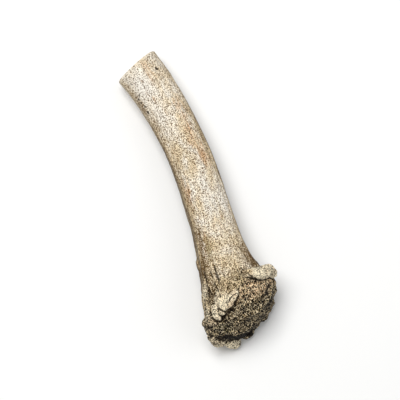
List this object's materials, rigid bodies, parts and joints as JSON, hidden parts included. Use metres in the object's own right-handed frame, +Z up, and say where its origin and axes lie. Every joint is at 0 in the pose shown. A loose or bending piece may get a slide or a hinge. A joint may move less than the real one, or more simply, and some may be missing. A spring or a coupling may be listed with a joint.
{
  "type": "fallow deer antler",
  "caption": "Lower beam and burr of a shed deer antler: a gently curved oval bone shaft, sawn flat at one end, flaring to a lumpy rim round a rough domed seal.",
  "frame": {"origin": "middle of the bounding box, on the surface that the antler lies on", "axes": "+Y along the antler from the burr to the sawn end, +Z up as it lies, +X to the right when the burr points at the viewer"},
  "size_m": [0.0586, 0.2067, 0.0494],
  "materials": {
    "antler": "matte"
  },
  "bodies": {
    "root": {"antler": "antler"}
  },
  "joints": []
}
